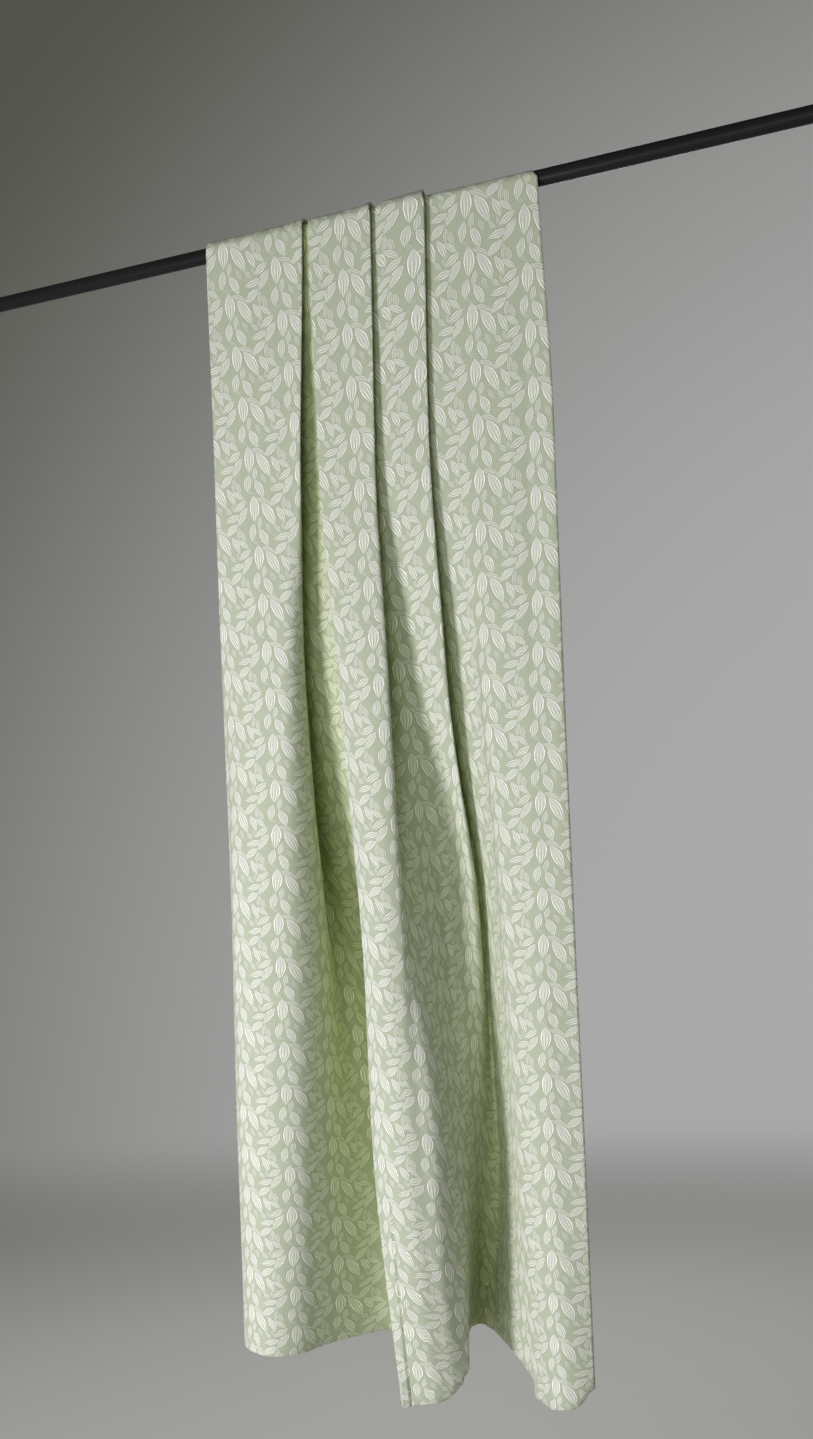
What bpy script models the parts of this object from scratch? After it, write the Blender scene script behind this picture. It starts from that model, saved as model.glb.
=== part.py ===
# A length of printed cloth hung as a curtain over a thin round rod.
# Metres, +Z up. The origin is on the rod's axis at its middle, +X runs along the rod
# and the long fall with its open pleats faces -Y.
from collections import namedtuple
import math

import bmesh
import bpy
import numpy as np

ROD_RADIUS = 0.014
ROD_LENGTH = 2.0
ROD_EDGE = 0.0012  # chamfer round each end
ROD_SIDES = 32

CLOTH_THICKNESS = 0.0012
TOP_GAP = 0.0003  # between the cloth and the top of the rod
SIDE_GAP = 0.002  # between the cloth and the sides of the rod
LAYER_PITCH = 0.0035  # from one layer of a flat pleat to the next

FRONT_DROP = 1.95
BACK_DROP = 0.60
BACK_OPENING = 0.35  # how fast the pleats open out behind, against the front
BACK_DRAW_IN = 0.040  # how far its right edge comes in towards its left one on the way over
BACK_PUSH = 0.022  # how far the pleats in front of it push its lower edge out
HEM_STEP = 0.024  # the right part of the hem hangs this much lower
HEM_STEP_AT = "right step"

FRONT_ROWS = 12
ROD_ROWS = 8
BACK_ROWS = 4
BEND_STEPS = 3  # segments round each fold
BEND_SHARE = 0.45  # the most of a panel that one fold may take

BEND_CENTRE_Z = TOP_GAP - SIDE_GAP
FALL_OFFSET = ROD_RADIUS + SIDE_GAP + CLOTH_THICKNESS / 2

# The cloth is a row of panels between folds, from its left edge to its right edge.
# across: x of the fold at each depth below the rod; out: how far it stands in front of the
# rod's side; layer: the panel after the fold lies this many layers out; bend: roundness of
# the fold at the rod and at the hem; hem: how far below the rod the cloth ends there.
DEPTHS = (0.0, 0.4, 0.8, 1.2, 1.6, 1.95)
Fold = namedtuple("Fold", "name across out layer bend hem")
FOLDS = (
    Fold("left edge", (-.336, -.330, -.334, -.349, -.362, -.376),
         (.000, .003, -.007, -.035, -.057, -.073), 2, (.010, .030), 1.920),
    Fold("left front", (-.285, -.280, -.292, -.317, -.322, -.316),
         (.000, .005, .009, .009, .010, .014), 2, (.030, .060), 1.927),
    Fold("left crest", (-.230, -.225, -.238, -.255, -.258, -.252),
         (.000, .006, .015, .021, .026, .029), 2, (.030, .060), 1.932),
    Fold("left turn", (-.170, -.168, -.178, -.188, -.198, -.213),
         (.000, .006, .010, .006, .000, -.002), 2, (.030, .060), 1.930),
    Fold("left pleat", (-.128, -.138, -.166, -.166, -.178, -.192),
         (.003, .010, -.028, -.055, -.065, -.062), 1, (.0018, .060), 1.922),
    Fold("left inner", (-.262, -.262, -.300, -.235, -.168, -.130),
         (.000, -.020, -.070, -.155, -.170, -.160), 0, (.0018, .060), 1.915),
    Fold("valley floor", (-.150, -.150, -.165, -.120, -.088, -.062),
         (.000, -.020, -.058, -.118, -.148, -.160), 0, (.030, .060), 1.920),
    Fold("tip inner", (-.055, -.050, -.042, -.038, -.034, -.012),
         (.000, -.006, -.030, -.035, -.004, -.010), 1, (.0018, .020), 1.960),
    Fold("middle tip", (-.118, -.111, -.077, -.043, -.018, .010),
         (.000, .004, .016, .029, .055, .044), 2, (.0018, .0018), 1.985),
    Fold("middle slit", (-.085, -.080, -.040, -.010, .019, .024),
         (.000, .006, .034, .050, .072, .036), 2, (.030, .006), 1.981),
    Fold("middle face", (-.035, -.030, .000, .020, .044, .049),
         (.000, .006, .036, .050, .075, .032), 2, (.030, .060), 1.976),
    Fold("middle fold", (.011, .011, .033, .045, .068, .073),
         (.004, .008, .027, .037, .068, .025), 1, (.0018, .060), 1.973),
    Fold("middle inner", (-.044, -.044, -.020, .040, .102, .094),
         (.000, .000, .006, .022, .052, .012), 0, (.0018, .060), 1.958),
    Fold("middle foot", (.014, .017, .036, .056, .106, .110),
         (.000, -.004, -.024, -.076, -.012, .000), 0, (.008, .030), 1.925),
    Fold("right dip", (.036, .042, .072, .084, .104, .060),
         (.007, .007, -.012, -.074, -.050, -.090), 0, (.008, .060), 1.884),
    Fold("right fold", (.117, .112, .122, .126, .104, .040),
         (.011, .010, .000, -.058, -.086, -.172), -1, (.0018, .040), 1.896),
    Fold("right inner", (.046, .046, .050, .104, .114, .066),
         (.007, .003, -.046, -.104, -.115, -.160), -2, (.0018, .050), 1.902),
    Fold("right rise", (.150, .150, .160, .172, .174, .150),
         (.007, .004, -.014, -.036, -.042, -.070), -2, (.030, .060), 1.909),
    Fold("right step", (.176, .177, .184, .196, .214, .206),
         (.007, .007, .005, -.006, .003, -.032), -2, (.020, .010), 1.941),
    Fold("right front", (.205, .206, .211, .220, .250, .252),
         (.007, .007, .009, .007, .016, .003), -2, (.030, .060), 1.950),
    Fold("right crest", (.262, .264, .266, .272, .280, .280),
         (.007, .006, .011, .014, .020, .012), -2, (.030, .030), 1.945),
    Fold("right turn", (.300, .303, .303, .300, .303, .300),
         (.007, .006, .010, .010, .014, .006), -2, (.020, .012), 1.943),
    Fold("right edge", (.323, .333, .331, .329, .331, .324),
         (.007, .006, .006, .004, .006, -.008), -2, (.010, .010), 1.907),
)


def clear_scene():
    for obj in list(bpy.data.objects):
        bpy.data.objects.remove(obj, do_unlink=True)


def make_material(name, colour, roughness, metallic=0.0):
    material = bpy.data.materials.new(name)
    material.use_nodes = True
    shader = material.node_tree.nodes["Principled BSDF"]
    shader.inputs["Base Color"].default_value = (*colour, 1.0)
    shader.inputs["Roughness"].default_value = roughness
    shader.inputs["Metallic"].default_value = metallic
    return material


def add_object(name, bm, material):
    mesh = bpy.data.meshes.new(name)
    bm.to_mesh(mesh)
    bm.free()
    mesh.materials.append(material)
    mesh.shade_smooth()
    mesh.set_sharp_from_angle(angle=math.radians(40))
    obj = bpy.data.objects.new(name, mesh)
    bpy.context.scene.collection.objects.link(obj)
    return obj


def value_at(depth, values):
    """A smooth curve through the values given at DEPTHS, without overshoot."""
    depth = min(max(depth, DEPTHS[0]), DEPTHS[-1])
    slopes = [
        (after - before) / (low - high)
        for before, after, high, low in zip(values, values[1:], DEPTHS, DEPTHS[1:])
    ]
    tangents = [slopes[0] / 2]
    for above, below in zip(slopes, slopes[1:]):
        steady = above * below > 0
        tangents.append(2 * above * below / (above + below) if steady else 0.0)
    tangents.append(slopes[-1])
    i = min(sum(depth >= d for d in DEPTHS[1:]), len(slopes) - 1)
    length = DEPTHS[i + 1] - DEPTHS[i]
    t = (depth - DEPTHS[i]) / length
    return (
        (2 * t**3 - 3 * t**2 + 1) * values[i]
        + (t**3 - 2 * t**2 + t) * length * tangents[i]
        + (3 * t**2 - 2 * t**3) * values[i + 1]
        + (t**3 - t**2) * length * tangents[i + 1]
    )


def bend(start, first, second, end):
    """Points after start along the round of a fold whose two corners are first and second."""
    near = start + (first - start) * 2 / 3
    far = end + (second - end) * 2 / 3
    for n in range(1, BEND_STEPS + 1):
        t = n / BEND_STEPS
        s = 1 - t
        yield s**3 * start + 3 * s**2 * t * near + 3 * s * t**2 * far + t**3 * end


def section(depth):
    """The cloth's line at one depth, as (across, out) points from its left to its right edge."""
    share = depth / DEPTHS[-1]
    arrive = []
    leave = []
    layer = FOLDS[0].layer
    for fold in FOLDS:
        across = value_at(depth, fold.across)
        out = value_at(depth, fold.out)
        arrive.append(np.array((across, out + layer * LAYER_PITCH)))
        layer = fold.layer
        leave.append(np.array((across, out + layer * LAYER_PITCH)))
    points = [leave[0]]
    for k, fold in enumerate(FOLDS[1:-1], 1):
        run_in = arrive[k] - leave[k - 1]
        run_out = arrive[k + 1] - leave[k]
        length_in = np.linalg.norm(run_in)
        length_out = np.linalg.norm(run_out)
        reach = fold.bend[0] + (fold.bend[1] - fold.bend[0]) * share
        reach = min(reach, BEND_SHARE * length_in, BEND_SHARE * length_out)
        start = arrive[k] - run_in / length_in * reach
        end = leave[k] + run_out / length_out * reach
        points.append(start)
        points.extend(bend(start, arrive[k], leave[k], end))
    points.append(arrive[-1])
    return np.array(points)


def hem_drops():
    """How far below the rod each point of the section ends."""
    points = section(FRONT_DROP)
    along = np.concatenate([[0.0], np.cumsum(np.linalg.norm(np.diff(points, axis=0), axis=1))])
    crests = [0]
    for k in range(1, len(FOLDS) - 1):
        crests.append((k - 1) * (BEND_STEPS + 1) + 1 + BEND_STEPS // 2)
    crests.append(len(points) - 1)
    drops = np.interp(along, along[crests], [fold.hem for fold in FOLDS])
    step = crests[[fold.name for fold in FOLDS].index(HEM_STEP_AT)]
    drops[step + 1:] += HEM_STEP
    return drops


def drawn_in(across, top, share):
    """Where a point's x has moved to, this share of the way over the rod."""
    return across - BACK_DRAW_IN * share * (across - top[0][0]) / (top[-1][0] - top[0][0])


def cloth_rows():
    """Rows of world points, from the front hem up over the rod and down to the back hem."""
    drops = hem_drops()
    rows = []
    for n in range(FRONT_ROWS, 0, -1):
        share = n / FRONT_ROWS
        points = section(share * FRONT_DROP)
        rows.append([
            (across, -FALL_OFFSET - out, BEND_CENTRE_Z - share * drop)
            for (across, out), drop in zip(points, drops)
        ])
    top = section(0.0)
    clear_of_chord = 1 / math.cos(math.pi / ROD_ROWS / 2)
    for n in range(ROD_ROWS + 1):
        angle = math.pi * n / ROD_ROWS
        rows.append([
            (
                drawn_in(across, top, n / ROD_ROWS),
                -(FALL_OFFSET + out) * clear_of_chord * math.cos(angle),
                BEND_CENTRE_Z + (FALL_OFFSET + out) * clear_of_chord * math.sin(angle),
            )
            for across, out in top
        ])
    for n in range(1, BACK_ROWS + 1):
        drop = BACK_DROP * n / BACK_ROWS
        push = BACK_PUSH * (n / BACK_ROWS) ** 2
        rows.append([
            (drawn_in(across, top, 1.0), FALL_OFFSET + push + out, BEND_CENTRE_Z - drop)
            for across, out in section(drop * BACK_OPENING)
        ])
    return rows


def build_curtain(material):
    bm = bmesh.new()
    rows = [[bm.verts.new(point) for point in row] for row in cloth_rows()]
    for lower, upper in zip(rows, rows[1:]):
        for a, b, c, d in zip(lower, lower[1:], upper[1:], upper):
            bm.faces.new((a, b, c, d))
    curtain = add_object("curtain", bm, material)
    solidify = curtain.modifiers.new("thickness", "SOLIDIFY")
    solidify.thickness = CLOTH_THICKNESS
    solidify.offset = 0.0
    return curtain


def build_rod(material):
    bm = bmesh.new()
    bmesh.ops.create_cone(
        bm, cap_ends=True, segments=ROD_SIDES, radius1=ROD_RADIUS, radius2=ROD_RADIUS,
        depth=ROD_LENGTH,
    )
    rims = [e for e in bm.edges if abs(e.verts[0].co.z - e.verts[1].co.z) < ROD_EDGE]
    bmesh.ops.bevel(bm, geom=rims, offset=ROD_EDGE, segments=1, affect="EDGES")
    for vert in bm.verts:
        x, y, z = vert.co
        vert.co = (z, y, -x)
    return add_object("rod", bm, material)


clear_scene()
build_curtain(make_material("printed_cotton", (0.47, 0.53, 0.40), 0.85))
build_rod(make_material("black_satin_paint", (0.012, 0.012, 0.014), 0.35))
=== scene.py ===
import math
from collections import namedtuple

import bmesh
import bpy
import numpy as np
from mathutils import Matrix, Vector, noise


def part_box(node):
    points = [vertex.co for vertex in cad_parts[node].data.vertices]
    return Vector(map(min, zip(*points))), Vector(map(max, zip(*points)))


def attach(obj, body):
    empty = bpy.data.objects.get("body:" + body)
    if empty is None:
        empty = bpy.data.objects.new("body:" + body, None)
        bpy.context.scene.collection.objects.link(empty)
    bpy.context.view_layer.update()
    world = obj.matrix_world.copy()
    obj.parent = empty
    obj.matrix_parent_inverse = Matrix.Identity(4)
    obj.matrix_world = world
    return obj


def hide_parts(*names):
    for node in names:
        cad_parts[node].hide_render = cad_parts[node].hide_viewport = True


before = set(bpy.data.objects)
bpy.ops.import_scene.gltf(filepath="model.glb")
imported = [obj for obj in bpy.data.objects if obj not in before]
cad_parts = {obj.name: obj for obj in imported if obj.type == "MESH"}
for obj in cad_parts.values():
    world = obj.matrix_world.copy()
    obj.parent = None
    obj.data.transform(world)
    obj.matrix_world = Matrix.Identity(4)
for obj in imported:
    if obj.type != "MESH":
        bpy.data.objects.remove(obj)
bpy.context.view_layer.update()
scene = bpy.context.scene


# Camera, floor and light

cameraPlace = {
    "stand": (1.615, -2.761, -1.107),  # metres from the middle of the rod's axis
    "turn": 29.87,  # degrees round to the left
    "tilt": 4.26,  # degrees up
    "roll": -2.18,
    "lens": 47.53,  # millimetres
}


def addObject(name, data):
    thing = bpy.data.objects.new(name, data)
    scene.collection.objects.link(thing)
    return thing


def addCamera(place):
    data = bpy.data.cameras.new("camera")
    data.lens = place["lens"]
    camera = addObject("camera", data)
    turn, tilt, roll = (math.radians(place[k]) for k in ("turn", "tilt", "roll"))
    camera.matrix_world = (
        Matrix.Translation(place["stand"])
        @ Matrix.Rotation(turn, 4, "Z")
        @ Matrix.Rotation(math.pi / 2 + tilt, 4, "X")
        @ Matrix.Rotation(roll, 4, "Z")
    )
    scene.camera = camera


studio = {
    "floorBelowHem": 0.42,
    "floorRadius": 6.5,
    "floorSides": 96,
    "floorFadeFrom": 2.2,
    "floorRoughness": 0.75,
    "floorPatchScale": 0.9,
    "floorColour": (0.68, 0.67, 0.67, 1),
    "floorDull": (0.6324, 0.6231, 0.6231, 1),  # the colour of its duller patches
    "wallColour": (0.395, 0.40, 0.395, 1),
    "roomColour": (0.085, 0.090, 0.072, 1),
    "wallSide": (-0.10, 0.98, -0.17),  # the way to the brightest part of the room, behind the cloth
    "wallEdge": (0.66, 0.96),  # how near that way the brightness begins and is full
    "lampAim": (0.0, 0.0, -1.2),
}
lamps = {  # name: place, size, watts, colour
    "key": ((-1.3, -2.5, -1.48), 1.0, 73, (1.0, 0.97, 0.99)),
    "fill": ((0.9, -4.3, -1.4), 2.6, 60, (0.95, 1.0, 0.84)),
    "back": ((-1.0, 2.8, 0.9), 1.8, 55, (1.0, 1.0, 1.0)),
}


def addLamps(lamps, aim):
    for name, (place, size, watts, colour) in lamps.items():
        data = bpy.data.lights.new(name, "AREA")
        data.shape = "DISK"
        data.size = size
        data.energy = watts
        data.color = colour
        lamp = addObject(name, data)
        lamp.location = place
        lamp.visible_camera = False
        lamp.rotation_euler = (Vector(aim) - Vector(place)).to_track_quat("-Z", "Y").to_euler()


# Shader maths: a Wire is a socket that Python's operators can do sums with

class Wire:
    def __init__(self, graph, socket):
        self.graph = graph
        self.socket = socket

    def maths(self, operation, *values):
        return self.graph.add("ShaderNodeMath", {"operation": operation}, dict(enumerate(values)))

    def __add__(self, other):
        return self.maths("ADD", self, other)

    def __sub__(self, other):
        return self.maths("SUBTRACT", self, other)

    def __rsub__(self, other):
        return self.maths("SUBTRACT", other, self)

    def __mul__(self, other):
        return self.maths("MULTIPLY", self, other)

    def __truediv__(self, other):
        return self.maths("DIVIDE", self, other)

    def __pow__(self, other):
        return self.maths("POWER", self, other)

    def __abs__(self):
        return self.maths("ABSOLUTE", self)

    __radd__ = __add__
    __rmul__ = __mul__


class Graph:
    def __init__(self, tree):
        self.tree = tree

    def add(self, kind, settings=None, inputs=None, output=0):
        node = self.tree.nodes.new(kind)
        for name, value in (settings or {}).items():
            if name == "stops":
                for extra in value[2:]:
                    node.color_ramp.elements.new(extra[0])
                for stop, (place, colour) in zip(node.color_ramp.elements, value):
                    stop.position = place
                    stop.color = colour
            else:
                setattr(node, name, value)
        for key, value in (inputs or {}).items():
            if isinstance(value, Wire):
                self.tree.links.new(value.socket, node.inputs[key])
            else:
                node.inputs[key].default_value = value
        return Wire(self, node.outputs[output])


def rounded(value):
    return value.maths("ROUND", value)


def largest(value, other):
    return value.maths("MAXIMUM", value, other)


def fused(value, factor, extra):  # value * factor + extra
    return value.maths("MULTIPLY_ADD", value, factor, extra)


def wrapped(value, reach):  # brought round to between -reach and reach
    return value.maths("WRAP", value, reach, -reach)


def held(value):  # kept between 0 and 1
    return value.graph.add("ShaderNodeClamp", None, {0: value})


def sineOf(value):
    return value.maths("SINE", value)


def cosineOf(value):
    return value.maths("COSINE", value)


def newMaterial(name, settings):
    material = bpy.data.materials.new(name)
    material.use_nodes = True
    shader = material.node_tree.nodes["Principled BSDF"]
    for key, value in settings.items():
        shader.inputs[key].default_value = value
    return material, Graph(material.node_tree), shader


def wire(graph, value, shader, key):
    graph.tree.links.new(value.socket, shader.inputs[key])


def mixColour(graph, factor, low, high):
    return graph.add("ShaderNodeMix", {"data_type": "RGBA"}, {0: factor, 6: low, 7: high}, output=2)


def tinted(graph, factor, colour, tint):  # the colour multiplied by the tint, as far as factor says
    return graph.add("ShaderNodeMix", {"data_type": "RGBA", "blend_type": "MULTIPLY"},
                     {0: factor, 6: colour, 7: tint}, output=2)


def vectorMaths(graph, operation, *values, output="Vector"):
    return graph.add("ShaderNodeVectorMath", {"operation": operation}, dict(enumerate(values)), output)


def part(graph, axis, vector):  # one of a vector's numbers
    return graph.add("ShaderNodeSeparateXYZ", None, {0: vector}, output=axis)


def cloudy(graph, place, scale, detail, flat=False, output=0):
    return graph.add("ShaderNodeTexNoise", {"noise_dimensions": "2D" if flat else "3D"},
                     {"Vector": place, "Scale": scale, "Detail": detail}, output)


def smooth(value, low, high):  # 0 below low, 1 above high
    return value.graph.add("ShaderNodeMapRange", {"interpolation_type": "SMOOTHSTEP"},
                           {"Value": value, "From Min": low, "From Max": high})


def addAir(studio):
    world = bpy.data.worlds.new("studio air")
    world.use_nodes = True
    scene.world = world
    graph = Graph(world.node_tree)
    direction = graph.add("ShaderNodeTexCoord", output="Generated")
    toWall = vectorMaths(graph, "DOT_PRODUCT", direction, studio["wallSide"], output="Value")
    nearWall = smooth(toWall, *studio["wallEdge"])
    air = mixColour(graph, nearWall, studio["roomColour"], studio["wallColour"])
    wire(graph, air, world.node_tree.nodes["Background"], "Color")


def addFloor(studio, hemLow):
    sides, radius = studio["floorSides"], studio["floorRadius"]
    bm = bmesh.new()
    bmesh.ops.create_circle(bm, cap_ends=True, segments=sides, radius=radius)
    mesh = bpy.data.meshes.new("floor")
    bm.to_mesh(mesh)
    bm.free()
    mesh.transform(Matrix.Translation((0, 0, hemLow - studio["floorBelowHem"])))
    material, graph, shader = newMaterial("floor paint", {"Roughness": studio["floorRoughness"]})
    place = graph.add("ShaderNodeTexCoord", output="Object")
    patches = cloudy(graph, place, scale=studio["floorPatchScale"], detail=3.0)
    colour = mixColour(graph, patches, studio["floorColour"], studio["floorDull"])
    wire(graph, colour, shader, "Base Color")
    flat = vectorMaths(graph, "MULTIPLY", place, (1, 1, 0))
    reach = vectorMaths(graph, "LENGTH", flat, output="Value")
    wire(graph, 1 - smooth(reach, studio["floorFadeFrom"], radius), shader, "Alpha")
    mesh.materials.append(material)
    addObject("floor", mesh)


# The cloth: its folds stand at the same places as the solid's

curtainCut = {
    "rodRadius": 0.014,
    "clothGap": 0.0026,  # from the rod's side to the middle of the cloth
    "topGap": 0.0003,
    "sideGap": 0.002,
    "layerPitch": 0.0035,
    "frontDrop": 1.95,
    "backDrop": 0.60,
    "backOpening": 0.35,
    "backDrawIn": 0.040,  # how far its right edge comes in on the way over the rod
    "backPush": 0.022,  # how far the pleats in front of it push its lower edge out
    "hemStep": 0.024,  # how much lower the hem's right end hangs, from the right step on
    "hemSmoothing": 7,  # columns
    "frontRows": 150,
    "rodRows": 18,
    "backRows": 30,
    "bendSteps": 6,
    "bendLimit": 0.45,  # the most of a panel that one of its bends takes up
    "columnWidth": 0.010,
    "flatShare": 0.6,  # what its bends leave of a panel, for counting its columns
    "thickness": 0.0005,
    "hemDepth": 0.235,
    "backHemDepth": 0.030,
    "sideHem": 0.012,
    "sideHemSteps": 3,
    "hemLift": 0.0024,  # how far behind the cloth the turned-up hem lies
    "backHemLift": 0.0022,
    "sideLift": 0.0010,
    "cornerDip": 0.0008,  # how much less a side hem is lifted inside the turned-up hem
    "turnDrop": 0.0012,  # how far a hem's fold rounds out below its edge
}
depths = (0.0, 0.4, 0.8, 1.2, 1.6, 1.95)
Fold = namedtuple("Fold", "name across out layer bend hem")
folds = (  # metres; across and out at each depth, panel layer after it, roundness, hem's drop
    Fold("left edge", (-.336, -.330, -.334, -.349, -.362, -.376),
         (.000, .003, -.007, -.035, -.057, -.073), 2, (.010, .030), 1.920),
    Fold("left front", (-.285, -.280, -.292, -.317, -.322, -.316),
         (.000, .005, .009, .009, .010, .014), 2, (.030, .060), 1.927),
    Fold("left crest", (-.230, -.225, -.238, -.255, -.258, -.252),
         (.000, .006, .015, .021, .026, .029), 2, (.030, .060), 1.932),
    Fold("left turn", (-.170, -.168, -.178, -.188, -.198, -.213),
         (.000, .006, .010, .006, .000, -.002), 2, (.030, .060), 1.930),
    Fold("left pleat", (-.128, -.138, -.166, -.166, -.178, -.192),
         (.003, .010, -.028, -.055, -.065, -.062), 1, (.0018, .060), 1.922),
    Fold("left inner", (-.262, -.262, -.300, -.235, -.168, -.130),
         (.000, -.020, -.070, -.155, -.170, -.160), 0, (.0018, .060), 1.915),
    Fold("valley floor", (-.150, -.150, -.165, -.120, -.088, -.062),
         (.000, -.020, -.058, -.118, -.148, -.160), 0, (.030, .060), 1.920),
    Fold("tip inner", (-.055, -.050, -.042, -.038, -.034, -.012),
         (.000, -.006, -.030, -.035, -.004, -.010), 1, (.0018, .020), 1.960),
    Fold("middle tip", (-.118, -.111, -.077, -.043, -.018, .010),
         (.000, .004, .016, .029, .055, .044), 2, (.0018, .0018), 1.985),
    Fold("middle slit", (-.085, -.080, -.040, -.010, .019, .024),
         (.000, .006, .034, .050, .072, .036), 2, (.030, .006), 1.981),
    Fold("middle face", (-.035, -.030, .000, .020, .044, .049),
         (.000, .006, .036, .050, .075, .032), 2, (.030, .060), 1.976),
    Fold("middle fold", (.011, .011, .033, .045, .068, .073),
         (.004, .008, .027, .037, .068, .025), 1, (.0018, .060), 1.973),
    Fold("middle inner", (-.044, -.044, -.020, .040, .102, .094),
         (.000, .000, .006, .022, .052, .012), 0, (.0018, .060), 1.958),
    Fold("middle foot", (.014, .017, .036, .056, .106, .110),
         (.000, -.004, -.024, -.076, -.012, .000), 0, (.008, .030), 1.925),
    Fold("right dip", (.036, .042, .072, .084, .104, .060),
         (.007, .007, -.012, -.074, -.050, -.090), 0, (.008, .060), 1.884),
    Fold("right fold", (.117, .112, .122, .126, .104, .040),
         (.011, .010, .000, -.058, -.086, -.172), -1, (.0018, .040), 1.896),
    Fold("right inner", (.046, .046, .050, .104, .114, .066),
         (.007, .003, -.046, -.104, -.115, -.160), -2, (.0018, .050), 1.902),
    Fold("right rise", (.150, .150, .160, .172, .174, .150),
         (.007, .004, -.014, -.036, -.042, -.070), -2, (.030, .060), 1.909),
    Fold("right step", (.176, .177, .184, .196, .214, .206),
         (.007, .007, .005, -.006, .003, -.032), -2, (.020, .010), 1.941),
    Fold("right front", (.205, .206, .211, .220, .250, .252),
         (.007, .007, .009, .007, .016, .003), -2, (.030, .060), 1.950),
    Fold("right crest", (.262, .264, .266, .272, .280, .280),
         (.007, .006, .011, .014, .020, .012), -2, (.030, .030), 1.945),
    Fold("right turn", (.300, .303, .303, .300, .303, .300),
         (.007, .006, .010, .010, .014, .006), -2, (.020, .012), 1.943),
    Fold("right edge", (.323, .333, .331, .329, .331, .324),
         (.007, .006, .006, .004, .006, -.008), -2, (.010, .010), 1.907),
)
foldNumber = {fold.name: k for k, fold in enumerate(folds)}


def valueAt(depth, values):  # a smooth curve through the table's values, without overshoot
    depth = min(max(depth, depths[0]), depths[-1])
    slopes = [
        (after - before) / (low - high)
        for before, after, high, low in zip(values, values[1:], depths, depths[1:])
    ]
    tangents = [slopes[0] / 2]
    for above, below in zip(slopes, slopes[1:]):
        steady = above * below > 0
        tangents.append(2 * above * below / (above + below) if steady else 0.0)
    tangents.append(slopes[-1])
    i = min(sum(depth >= d for d in depths[1:]), len(slopes) - 1)
    length = depths[i + 1] - depths[i]
    t = (depth - depths[i]) / length
    return (
        (2 * t**3 - 3 * t**2 + 1) * values[i]
        + (t**3 - 2 * t**2 + t) * length * tangents[i]
        + (3 * t**2 - 2 * t**3) * values[i + 1]
        + (t**3 - t**2) * length * tangents[i + 1]
    )


def corners(cut, depth):  # where the panels meet, as arriving and leaving corners
    arrive = []
    leave = []
    layer = folds[0].layer
    for fold in folds:
        across = valueAt(depth, fold.across)
        out = valueAt(depth, fold.out)
        arrive.append(np.array((across, out + layer * cut["layerPitch"])))
        layer = fold.layer
        leave.append(np.array((across, out + layer * cut["layerPitch"])))
    return arrive, leave


def panelSteps(cut):  # how many columns each flat panel gets, from its mean width
    widths = np.zeros(len(folds) - 1)
    for depth in depths:
        arrive, leave = corners(cut, depth)
        widths += [np.linalg.norm(b - a) for a, b in zip(leave, arrive[1:])]
    share = cut["flatShare"] / len(depths)
    return [max(2, round(w * share / cut["columnWidth"])) for w in widths]


def section(cut, depth, steps):  # the cloth's line at one depth, from left to right
    share = depth / depths[-1]
    arrive, leave = corners(cut, depth)
    points = [leave[0]]
    for k, fold in enumerate(folds[1:], 1):
        runIn = arrive[k] - leave[k - 1]
        lengthIn = np.linalg.norm(runIn)
        reach = 0.0
        if k < len(folds) - 1:
            lengthOut = np.linalg.norm(arrive[k + 1] - leave[k])
            reach = fold.bend[0] + (fold.bend[1] - fold.bend[0]) * share
            reach = min(reach, cut["bendLimit"] * lengthIn, cut["bendLimit"] * lengthOut)
        start = arrive[k] - runIn / lengthIn * reach
        before = points[-1]
        count = steps[k - 1]
        if k in (1, len(folds) - 1):
            points.extend(edgePoints(cut, before, start, count, atStart=k == 1))
        else:
            points.extend(before + (start - before) * n / count for n in range(1, count + 1))
        if k < len(folds) - 1:
            runOut = arrive[k + 1] - leave[k]
            end = leave[k] + runOut / lengthOut * reach
            near = start + (arrive[k] - start) * 2 / 3
            far = end + (leave[k] - end) * 2 / 3
            for n in range(1, cut["bendSteps"] + 1):
                t = n / cut["bendSteps"]
                s = 1 - t
                points.append(s**3 * start + 3 * s**2 * t * near + 3 * s * t**2 * far + t**3 * end)
    return np.array(points)


def edgePoints(cut, before, after, steps, atStart):  # a side hem's columns, then even ones
    run = after - before
    length = np.linalg.norm(run)
    width, hemSteps = cut["sideHem"], cut["sideHemSteps"]
    hem = [width * n / hemSteps for n in range(1, hemSteps + 1)]
    rest = [width + (length - width) * n / steps for n in range(1, steps + 1)]
    if atStart:
        marks = hem + rest
    else:
        marks = [length - m for m in reversed([0.0] + hem + rest[:-1])]
    return [before + run / length * m for m in marks]


def lengthsAlong(line):  # how far along it each of a line's points lies
    return np.concatenate([[0.0], np.cumsum(np.linalg.norm(np.diff(line, axis=0), axis=1))])


def hemDrops(cut, line, crests):
    along = lengthsAlong(line)
    drops = np.interp(along, along[crests], [fold.hem for fold in folds])
    width = cut["hemSmoothing"]
    drops = np.convolve(np.pad(drops, width // 2, mode="edge"), np.full(width, 1 / width), mode="valid")
    drops[crests[foldNumber["right step"]] + 1:] += cut["hemStep"]
    return drops


def foldColumns(cut, steps):  # the column at each fold's crest
    crests = [0]
    column = 0
    for k in range(1, len(folds) - 1):
        column += steps[k - 1] + (cut["sideHemSteps"] if k == 1 else 0)
        crests.append(column + cut["bendSteps"] // 2)
        column += cut["bendSteps"]
    crests.append(column + steps[-1] + cut["sideHemSteps"])
    return crests


def drawnIn(cut, line, top, share):  # the same line, this share of the way over the rod
    inward = cut["backDrawIn"] * share * (line[:, 0] - top[0, 0]) / (top[-1, 0] - top[0, 0])
    return np.column_stack([line[:, 0] - inward, line[:, 1]])


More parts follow.
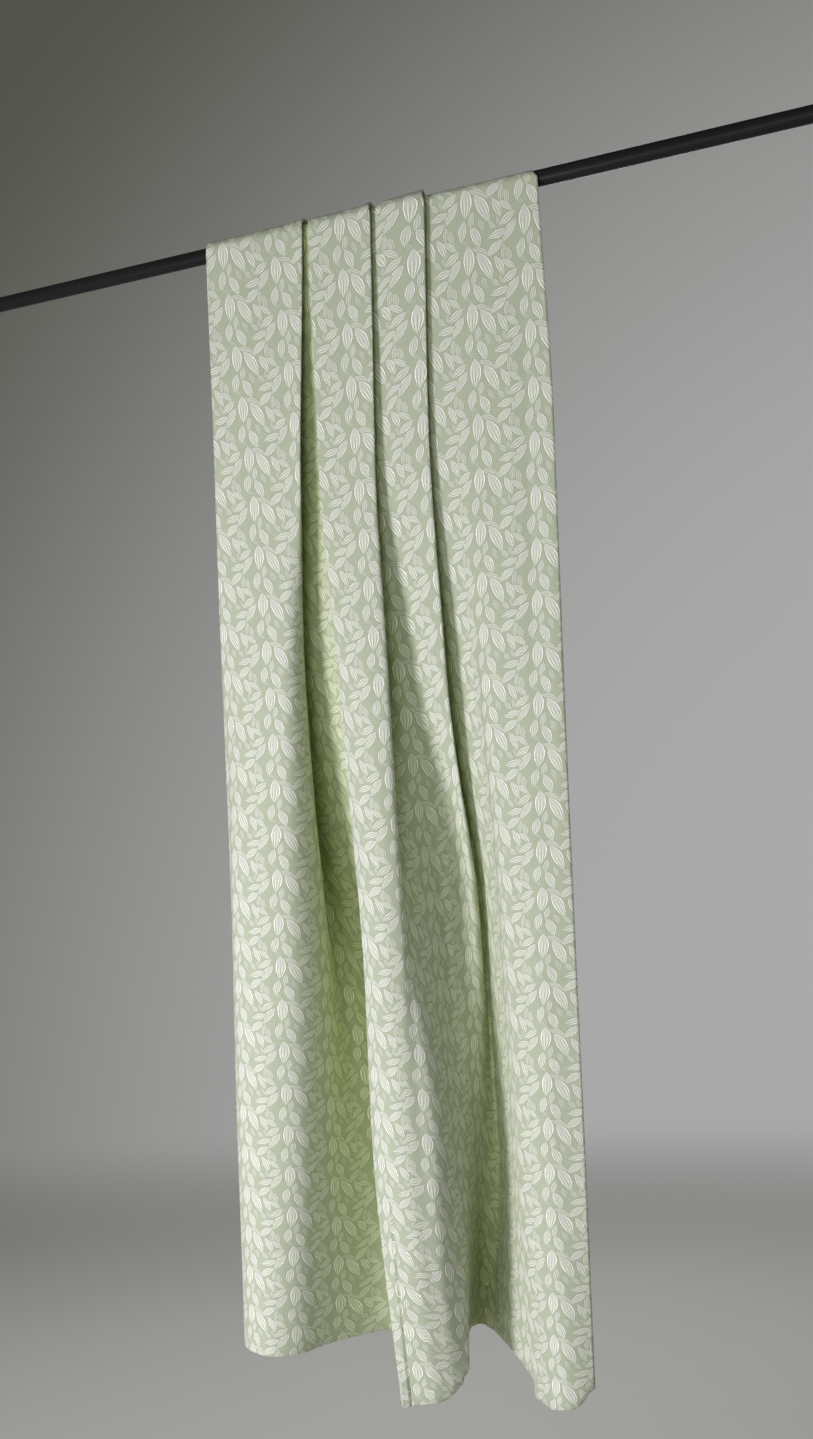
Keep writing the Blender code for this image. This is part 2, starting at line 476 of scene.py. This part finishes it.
def clothGrid(cut):  # points [row, column] from the front hem over the rod to the back hem
    steps = panelSteps(cut)
    crests = foldColumns(cut, steps)
    drops = hemDrops(cut, section(cut, cut["frontDrop"], steps), crests)
    centre = cut["topGap"] - cut["sideGap"]
    offset = cut["rodRadius"] + cut["clothGap"]
    rows = []
    lines = []
    for n in range(cut["frontRows"], 0, -1):
        share = n / cut["frontRows"]
        line = section(cut, share * cut["frontDrop"], steps)
        rows.append(np.column_stack([line[:, 0], -offset - line[:, 1], centre - share * drops]))
        lines.append(line)
    top = section(cut, 0.0, steps)
    for n in range(cut["rodRows"] + 1):
        angle = math.pi * n / cut["rodRows"]
        line = drawnIn(cut, top, top, n / cut["rodRows"])
        reach = offset + line[:, 1]
        rows.append(np.column_stack([
            line[:, 0], -reach * math.cos(angle), centre + reach * math.sin(angle),
        ]))
        lines.append(line)
    for n in range(1, cut["backRows"] + 1):
        drop = cut["backDrop"] * n / cut["backRows"]
        push = cut["backPush"] * (n / cut["backRows"]) ** 2
        line = drawnIn(cut, section(cut, drop * cut["backOpening"], steps), top, 1.0)
        rows.append(np.column_stack([
            line[:, 0], offset + push + line[:, 1], np.full(len(line), centre - drop),
        ]))
        lines.append(line)
    return np.array(rows), lines, crests


def flatPlaces(cut, rows, lines, crests):  # each point's place on the flat cloth
    at = {name: crests[k] for name, k in foldNumber.items()}
    along = np.array([lengthsAlong(line) for line in lines])
    tip = along[:, at["middle tip"]].mean()
    right = along[:, -1].mean()
    across = np.empty_like(along)
    for r, line in enumerate(along):
        known = [0, at["left pleat"], at["tip inner"], at["middle inner"], at["right inner"], -1]
        places = [
            0.0,
            line[known[1]],
            tip + line[known[2]] - line[at["middle tip"]],
            tip + line[known[3]] - line[at["middle tip"]],
            right - (line[-1] - line[known[4]]),
            right,
        ]
        across[r] = np.interp(line, line[known], places)
    crown = cut["frontRows"] + cut["rodRows"] // 2
    steps = np.linalg.norm(np.diff(rows, axis=0), axis=2)
    down = np.vstack([np.zeros(rows.shape[1]), np.cumsum(steps, axis=0)])
    down = down[crown] - down
    return across, down


sight = {
    "widest": 75,  # degrees to each side of straight out
    "looks": 16,
    "rowStep": 6,  # the rows between are worked out from their neighbours
    "nearest": 0.0005,
    "level": 1e-9,  # a run this close to a look's own way counts as this far off it
}


def shutIn(lines):  # how much of the room before the cloth its other folds hide, from 0 to 1
    angles = np.radians(np.linspace(-sight["widest"], sight["widest"], sight["looks"]))
    picked = sorted({*range(0, len(lines), sight["rowStep"]), len(lines) - 1})
    hidden = []
    for line in (lines[r] for r in picked):
        start = line[:-1]
        run = np.diff(line, axis=0)
        seen = np.zeros(len(line))
        for sine, cosine in zip(np.sin(angles), np.cos(angles)):
            gap = start[None, :, :] - line[:, None, :]
            cross = sine * run[:, 1] - cosine * run[:, 0]
            cross = np.where(np.abs(cross) < sight["level"], sight["level"], cross)
            distance = (gap[..., 0] * run[:, 1] - gap[..., 1] * run[:, 0]) / cross
            place = (gap[..., 0] * cosine - gap[..., 1] * sine) / cross
            hit = (distance > sight["nearest"]) & (place >= 0) & (place <= 1)
            seen += ~hit.any(axis=1)
        hidden.append(1 - np.convolve(seen / len(angles), (0.25, 0.5, 0.25), mode="same"))
    rows = range(len(lines))
    return np.array([np.interp(rows, picked, column) for column in np.transpose(hidden)]).T


def surfaceNormals(rows):  # outward: to the front on the front fall
    acrossward = np.gradient(rows, axis=1)
    upward = np.gradient(rows, axis=0)
    normals = np.cross(acrossward, upward)
    return normals / np.linalg.norm(normals, axis=2, keepdims=True)


creases = (  # flat places in metres: from, to, width, height (a trough below 0)
    ((0.097, 0.03), (0.097, 0.31), 0.005, -0.0011),
    ((0.115, 0.03), (0.112, 0.26), 0.007, 0.0009),
    ((0.086, 1.40), (0.094, 1.66), 0.006, 0.0013),
    ((0.110, 1.44), (0.116, 1.62), 0.006, -0.0010),
    ((1.192, 0.22), (1.186, 0.92), 0.011, -0.0024),
    ((1.160, 0.30), (1.152, 0.86), 0.009, 0.0016),
    ((1.228, 0.40), (1.224, 1.30), 0.012, 0.0018),
    ((0.540, 0.42), (0.536, 0.70), 0.006, 0.0012),
    ((0.585, 0.16), (0.590, 0.52), 0.006, -0.0009),
)
slit = {"fold": "middle slit", "from": 1.69, "deepest": 1.73, "depth": 0.011}
ripples = {
    "height": 0.0016,
    "fadeFrom": 0.05,  # none this near the rod
    "fadeTo": 0.45,  # full from here down
    "scale": (9.0, 3.2),  # across and down
    "seed": 3.7,
}


def addRelief(rows, across, down):
    normals = surfaceNormals(rows)
    relief = np.zeros(across.shape)
    for (r, c), flatAcross in np.ndenumerate(across):
        place = (flatAcross * ripples["scale"][0], down[r, c] * ripples["scale"][1], ripples["seed"])
        relief[r, c] = noise.noise(place) * ripples["height"]
    fadeDepth = ripples["fadeTo"] - ripples["fadeFrom"]
    relief *= np.clip((np.abs(down) - ripples["fadeFrom"]) / fadeDepth, 0, 1)
    for (fromAcross, fromDown), (toAcross, toDown), width, height in creases:
        start = np.array((fromAcross, fromDown))
        run = np.array((toAcross, toDown)) - start
        offset = np.stack([across, down], axis=-1) - start
        t = np.clip(offset @ run / (run @ run), 0, 1)
        away = np.linalg.norm(offset - t[..., None] * run, axis=-1)
        towardsEnds = np.sin(math.pi * np.clip(t, 0.02, 0.98)) ** 0.5  # a quarter is left at the ends
        relief += height * np.exp(-(away / width) ** 2) * towardsEnds
    return rows + normals * relief[..., None]


def cutSlit(rows, normals, down, column):  # a narrow groove along one fold, down to the hem
    share = np.clip((down[:, column] - slit["from"]) / (slit["deepest"] - slit["from"]), 0, 1)
    depth = slit["depth"] * share * (3 - 2 * share) * share
    rows[:, column] -= normals[:, column] * depth[:, None]


def hemRow(rows, reach):  # the last row that the turned-up hem covers, counted from row 0
    lengths = np.cumsum(np.linalg.norm(np.diff(rows, axis=0), axis=2).mean(axis=1))
    return int(np.searchsorted(lengths, reach)) + 1


def foldedPlan(cut, rows):  # the cloth's rows and columns in order, with the hems folded behind it
    last = rows.shape[0] - 1
    right = rows.shape[1] - 1
    hem = cut["sideHemSteps"]
    frontHem = hemRow(rows, cut["hemDepth"])
    backHem = hemRow(rows[::-1], cut["backHemDepth"])
    rowPlan = [(r, 1.0) for r in range(frontHem, -1, -1)] + [(0, 0.5)]  # 0.5 is in the fold itself
    rowPlan += [(r, 0.0) for r in range(last + 1)]
    rowPlan += [(last, 0.5)] + [(r, 1.0) for r in range(last, last - backHem - 1, -1)]
    columnPlan = [(c, True) for c in range(hem, -1, -1)]
    columnPlan += [(c, False) for c in range(right + 1)]
    columnPlan += [(c, True) for c in range(right, right - hem - 1, -1)]
    return rowPlan, columnPlan


def flatPlace(across, down, r, c, turned, folded):  # a hem's places run on past the cloth's edge
    flatAcross = across[r, c]
    flatDown = down[r, c]
    if turned:
        flatDown = 2 * down[0 if r < len(down) // 2 else -1, c] - flatDown
    if folded:
        flatAcross = 2 * across[r, 0 if c < across.shape[1] // 2 else -1] - flatAcross
    return flatAcross, flatDown


def clothMesh(points, places, shades, rowCount, columnCount):
    mesh = bpy.data.meshes.new("printedCloth")
    starts = [r * columnCount + c for r in range(rowCount - 1) for c in range(columnCount - 1)]
    faces = [(n, n + 1, n + columnCount + 1, n + columnCount) for n in starts]
    mesh.from_pydata([tuple(p) for p in points], [], faces)
    layer = mesh.uv_layers.new(name="flatPlace")
    for loop in mesh.loops:
        layer.data[loop.index].uv = places[loop.vertex_index]
    mesh.attributes.new("shutIn", "FLOAT", "POINT").data.foreach_set("value", shades)
    mesh.shade_smooth()
    return mesh


def buildCloth(cut, outside, inside):
    rows, lines, crests = clothGrid(cut)
    across, down = flatPlaces(cut, rows, lines, crests)
    rows = addRelief(rows, across, down)
    normals = surfaceNormals(rows)
    cutSlit(rows, normals, down, crests[foldNumber[slit["fold"]]])
    hidden = shutIn(lines)
    rowPlan, columnPlan = foldedPlan(cut, rows)
    points = []
    places = []
    shades = []
    for r, turned in rowPlan:
        hemLift = cut["hemLift"] if r < len(rows) // 2 else cut["backHemLift"]
        cornerLift = hemLift - cut["cornerDip"]
        lower = cut["turnDrop"] if turned == 0.5 else 0.0
        for c, folded in columnPlan:
            lift = hemLift * turned
            if folded:
                lift = cut["sideLift"] + (cornerLift - cut["sideLift"]) * turned
            point = rows[r, c] - normals[r, c] * lift
            point[2] -= lower
            points.append(point)
            places.append(flatPlace(across, down, r, c, turned, folded))
            shades.append(hidden[r, c])
    mesh = clothMesh(points, places, shades, len(rowPlan), len(columnPlan))
    mesh.materials.append(outside)
    mesh.materials.append(inside)
    cloth = addObject("printedCloth", mesh)
    solidify = cloth.modifiers.new("thickness", "SOLIDIFY")
    solidify.thickness = cut["thickness"]
    solidify.offset = 0.0
    solidify.material_offset = 1
    return cloth


# The print: one block of leaves, repeated with each column half a block lower than the last

printBlock = {
    "width": 102.0,  # millimetres
    "height": 94.6,
    "upright": 1001.0,  # where across the flat cloth the columns stay upright
    "column": 1023.5,  # which place across the repeats falls there
    # How many times narrower, and nearer the rod, it prints: more a millimetre down, at the rod.
    "narrower": (0.00011, 0.95),
    "shorter": (0.000135, 0.935),
    "bare": 0.15,  # how strongly bare ground counts between 0, beside a leaf, and 1, on a stroke
    "besideLeaf": (0.300, 0.330, 0.250, 1),
    "ground": (0.405, 0.445, 0.340, 1),
    "leaf": (0.600, 0.612, 0.575, 1),
    "stroke": (0.930, 0.945, 0.900, 1),
    "dullPatch": (0.93, 0.92, 0.95, 1),  # what the print is multiplied by in dull patches
    "paintedValleyShade": (0.88, 0.96, 0.52, 1),  # and where folds shut it in: painted shade, darker and greener deep in the valleys
    "edgeSoftness": 0.35,  # millimetres
    "contour": 1.2,  # how far the darker line round a leaf reaches
    "waver": 1.6,  # how far a hand-drawn line strays
    "waverScale": 0.22,
    "showThrough": 0.3,  # how much of the print shows on the wrong side
}
leafForm = {  # pairs are a slope and a start, for what changes along or across a leaf
    "reach": 0.6,  # of its length, from its middle to the ends of its outline
    "half": 0.48,  # of its width, from its middle line to its side
    "pointed": 1.05,
    "side": (-0.12, 1.06),  # it narrows from its tip to its foot
    "ends": 8.0,  # how sharply it stops at its two ends
    "outerStroke": 0.94,  # of the half width
    "rim": (5.0, -3.8),
    "parting": (0.8, 0.45),  # the strokes part towards the foot
    "footStart": (-3.5, 2.5),  # past here only the strokes reach on
    "footStroke": (1.8, 0.2),
    "body": (0.33, 0.12),  # these three go by the leaf's tone
    "grain": (0.26, 0.20),
    "stroke": (0.20, 0.24),
}
Leaf = namedtuple("Leaf", "across down turn length width bend strokes tone")
leaves = (  # millimetres and degrees; turn 0 is upright, positive leans its foot to the right
    Leaf(0.0, 0.0, -3, 44, 20.0, 1.5, 4, 1.00),
    Leaf(29.0, 13.5, 26, 48, 18.5, 2.0, 4, 0.97),
    Leaf(9.0, 28.7, -14, 24, 10.0, 0.5, 3, 0.75),
    Leaf(26.6, 40.5, 22, 21, 9.0, 0.5, 3, 0.50),
    Leaf(-6.6, 45.0, -12, 31, 14.5, -1.0, 4, 0.88),
    Leaf(15.0, 58.0, 22, 34, 15.5, 1.5, 4, 0.92),
    Leaf(22.5, 83.0, 63, 30, 10.5, 1.0, 3, 0.70),
    Leaf(-4.4, 63.4, 60, 13, 8.0, 0.0, 3, 0.35),
    Leaf(-52.5, 36.0, -54, 32, 14.0, -1.5, 4, 0.92),
    Leaf(-38.5, 43.5, -8, 25, 9.5, 0.5, 3, 0.62),
    Leaf(-29.0, 51.5, 5, 25, 9.5, 0.5, 3, 0.62),
    Leaf(-47.5, 65.5, 23, 34, 12.0, 1.5, 3, 0.95),
    Leaf(-31.0, 65.8, 50, 28, 9.8, 1.0, 3, 0.90),
    Leaf(-29.6, 85.1, -57, 30, 12.5, 1.0, 3, 0.90),
    Leaf(-25.2, 12.0, -35, 36, 14.5, -1.5, 4, 0.90),
    Leaf(-48.5, 12.5, -76, 31, 12.0, 1.0, 3, 0.90),
    Leaf(-56.0, 91.5, 40, 17, 9.0, 0.0, 3, 0.65),
    Leaf(-45.5, 87.0, 8, 15, 7.0, 0.0, 3, 0.50),
)


def leafDrawing(block, form):  # one leaf: how much it keeps of what lies under it, and what it adds
    tree = bpy.data.node_groups.new("leaf drawing", "ShaderNodeTree")
    names = ["across", "down", "leafAcross", "leafDown", "sine", "cosine", "reach", "half",
             "bend", "pitch", "body", "grain", "stroke"]
    for name in names:
        tree.interface.new_socket(name, in_out="INPUT", socket_type="NodeSocketFloat")
    for name in ("kept", "print"):
        tree.interface.new_socket(name, in_out="OUTPUT", socket_type="NodeSocketFloat")
    graph = Graph(tree)
    given = tree.nodes.new("NodeGroupInput")
    (across, down, leafAcross, leafDown, sine, cosine, reach, half, bend, pitch, body, grain,
     stroke) = (Wire(graph, given.outputs[name]) for name in names)
    x = across - leafAcross
    y = down - leafDown
    column = rounded(x / block["width"])
    x = fused(column, -block["width"], x)
    y = wrapped(fused(column, -block["height"] / 2, y), block["height"] / 2)
    along = fused(y, cosine, x * sine) / reach  # -1 at the top, 1 at the foot
    full = largest(1 - along * along, 0.0)
    edge = full ** form["pointed"] * fused(along, *(half * share for share in form["side"]))
    beside = x * cosine - fused(y, sine, full * bend)
    inside = (edge - abs(beside)) * (1 / block["edgeSoftness"])
    ratio = beside / (edge * form["outerStroke"])
    lines = cosineOf(fused(ratio, pitch, pitch))  # 1 on a stroke, -1 between two
    rim = held(fused(abs(ratio), *form["rim"]))
    split = held(fused(along, *form["parting"])) * grain
    foot = largest(held(fused(along, *form["footStart"])), held(fused(lines, *form["footStroke"])))
    outline = held(inside + block["contour"] / block["edgeSoftness"])
    cover = outline * held(full * form["ends"]) * foot
    printed = cover * held(inside) * (fused(lines, split, body) + rim * stroke)
    out = tree.nodes.new("NodeGroupOutput")
    for value, socket in zip((1 - cover, printed), out.inputs):
        tree.links.new(value.socket, socket)
    return tree


def printStrength(graph, inMm, block, form, drawing):  # 0 is beside a leaf, 1 on a stroke
    waver = cloudy(graph, inMm, block["waverScale"], detail=1.0, flat=True, output="Color")
    stray = (block["waver"], block["waver"], 0.0)
    drawn = vectorMaths(graph, "MULTIPLY_ADD", waver, stray, inMm)
    across = part(graph, "X", drawn)
    down = part(graph, "Y", drawn)
    across = fused(across - block["upright"], fused(down, *block["narrower"]), block["column"])
    down = down * fused(down, *block["shorter"])
    strength = block["bare"]
    for leaf in sorted(leaves, key=lambda leaf: leaf.tone):  # the brightest lie on top
        toned = {}
        for name in ("body", "grain", "stroke"):
            slope, start = form[name]
            toned[name] = start + slope * leaf.tone
        kept = graph.add("ShaderNodeGroup", {"node_tree": drawing}, {
            "across": across,
            "down": down,
            "leafAcross": leaf.across,
            "leafDown": leaf.down,
            "sine": math.sin(math.radians(leaf.turn)),
            "cosine": math.cos(math.radians(leaf.turn)),
            "reach": leaf.length * form["reach"],
            "half": leaf.width * form["half"],
            "bend": leaf.bend,
            "pitch": math.pi * (leaf.strokes - 1),
            **toned,
        })
        printed = Wire(graph, kept.socket.node.outputs["print"])
        strength = fused(kept, strength, printed)
    return strength


cotton = {
    "roughness": 0.82,
    "sheen": 0.1,
    "patchScale": 0.03,
    "valley": (0.25, 0.95),  # how far shut in the painted valley shade begins and is full
    "yarns": (1.6, 0.05),  # how often a yarn's thickness changes across it and along it
    "yarnShade": (0.2, 0.8),
    "weavePitch": 0.9,  # millimetres
    "weaveHeight": 0.5,
    "weaveStrength": 0.25,
    "weaveDepth": 0.0002,  # metres
}


def clothMaterial(name, block, form, drawing, depth):  # depth: how much of the print this side shows
    settings = {"Roughness": cotton["roughness"], "Sheen Weight": cotton["sheen"]}
    material, graph, shader = newMaterial(name, settings)
    place = graph.add("ShaderNodeUVMap", {"uv_map": "flatPlace"})
    inMm = graph.add("ShaderNodeVectorMath", {"operation": "SCALE"}, {0: place, "Scale": 1000.0})
    strength = printStrength(graph, inMm, block, form, drawing)
    strength = fused(strength, depth, block["bare"] * (1 - depth))
    colour = graph.add("ShaderNodeValToRGB", {"stops": (
        (0.0, block["besideLeaf"]),
        (block["bare"], block["ground"]),
        (0.5, block["leaf"]),
        (1.0, block["stroke"]),
    )}, {0: strength})
    patchy = cloudy(graph, inMm, cotton["patchScale"], detail=2.0, flat=True)
    colour = tinted(graph, patchy, colour, block["dullPatch"])
    # painted shade: the colour is darkened and greened where the other folds shut the cloth in
    shut = graph.add("ShaderNodeAttribute", {"attribute_name": "shutIn"}, output="Fac")
    colour = tinted(graph, smooth(shut, *cotton["valley"]), colour, block["paintedValleyShade"])
    crosswise, lengthwise = cotton["yarns"]
    warp = threads(graph, inMm, (crosswise, lengthwise, 0))
    weft = threads(graph, inMm, (lengthwise, crosswise, 0))
    yarns = warp + weft
    value = fused(yarns, *cotton["yarnShade"])
    shade = graph.add("ShaderNodeHueSaturation", None, {"Color": colour, "Value": value})
    wire(graph, shade, shader, "Base Color")
    pitch = 2 * math.pi / cotton["weavePitch"]
    weave = sineOf(part(graph, "X", inMm) * pitch) * sineOf(part(graph, "Y", inMm) * pitch)
    bump = graph.add("ShaderNodeBump", None, {
        "Strength": cotton["weaveStrength"],
        "Distance": cotton["weaveDepth"],
        "Height": fused(weave, cotton["weaveHeight"], yarns),
    })
    wire(graph, bump, shader, "Normal")
    return material


def threads(graph, inMm, stretch):  # thicker and thinner yarns
    stretched = vectorMaths(graph, "MULTIPLY", inMm, stretch)
    return cloudy(graph, stretched, scale=1.0, detail=1.0, flat=True)


# The rod

rodShape = {
    "radius": curtainCut["rodRadius"],
    "length": 2.0,
    "edge": 0.0012,  # the rounding of its two ends
    "edgeSteps": 4,
    "sides": 96,
    "sharpFrom": 50,  # degrees
}
rodPaint = {
    "shine": 0.07,
    "darkest": (0.010, 0.010, 0.011, 1),
    "rubbed": (0.018, 0.018, 0.020, 1),
    "rubStretch": (0.4, 6.0, 6.0),  # drawn out along the rod
    "rubScale": 9.0,
    "roughness": (0.12, 0.27),  # more where rubbed, least
    "grainScale": 900.0,
    "grainStrength": 0.15,
    "grainDepth": 0.00015,  # metres
}


def rodMaterial(paint):
    material, graph, shader = newMaterial("black paint", {"Specular IOR Level": paint["shine"]})
    place = graph.add("ShaderNodeTexCoord", output="Object")
    stretched = vectorMaths(graph, "MULTIPLY", place, paint["rubStretch"])
    rub = cloudy(graph, stretched, paint["rubScale"], detail=4.0)
    wire(graph, mixColour(graph, rub, paint["darkest"], paint["rubbed"]), shader, "Base Color")
    wire(graph, fused(rub, *paint["roughness"]), shader, "Roughness")
    bump = graph.add("ShaderNodeBump", None, {
        "Strength": paint["grainStrength"],
        "Distance": paint["grainDepth"],
        "Height": cloudy(graph, place, paint["grainScale"], detail=2.0),
    })
    wire(graph, bump, shader, "Normal")
    return material


def buildRod(shape, material):  # a ring at each point of half the rod's outline, from end to end
    half = shape["length"] / 2
    edge = shape["edge"]
    barrel = shape["radius"] - edge
    turns = [math.pi / 2 * n / shape["edgeSteps"] for n in range(1, shape["edgeSteps"] + 1)]
    outline = [(-half, 0.0), (-half, barrel)]
    outline += [(-half + edge * (1 - math.cos(a)), barrel + edge * math.sin(a)) for a in turns]
    outline += [(-x, radius) for x, radius in reversed(outline)]
    sides = range(shape["sides"])
    bm = bmesh.new()
    rings = []
    for x, radius in outline:
        if radius == 0:
            rings.append([bm.verts.new((x, 0, 0))] * len(sides))
            continue
        angles = [2 * math.pi * n / len(sides) for n in sides]
        rings.append([bm.verts.new((x, radius * math.cos(a), radius * math.sin(a))) for a in angles])
    for a, b in zip(rings, rings[1:]):
        for n in sides:
            m = (n + 1) % len(sides)
            bm.faces.new(list(dict.fromkeys((a[n], b[n], b[m], a[m]))))
    bmesh.ops.recalc_face_normals(bm, faces=bm.faces)
    mesh = bpy.data.meshes.new("rodBar")
    bm.to_mesh(mesh)
    bm.free()
    mesh.shade_smooth()
    mesh.set_sharp_from_angle(angle=math.radians(shape["sharpFrom"]))
    mesh.materials.append(material)
    return addObject("rodBar", mesh)


print("camera and studio")
addCamera(cameraPlace)
addAir(studio)
addFloor(studio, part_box("curtain")[0].z)
addLamps(lamps, studio["lampAim"])
scene.view_settings.view_transform = "Standard"

print("cloth")
drawing = leafDrawing(printBlock, leafForm)
rightSide = clothMaterial("printed cotton", printBlock, leafForm, drawing, 1.0)
wrongSide = clothMaterial(
    "printed cotton wrong side", printBlock, leafForm, drawing, printBlock["showThrough"]
)
cloth = buildCloth(curtainCut, rightSide, wrongSide)
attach(cloth, "root")
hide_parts("curtain")

print("rod")
rod = buildRod(rodShape, rodMaterial(rodPaint))
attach(rod, "root")
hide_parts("rod")
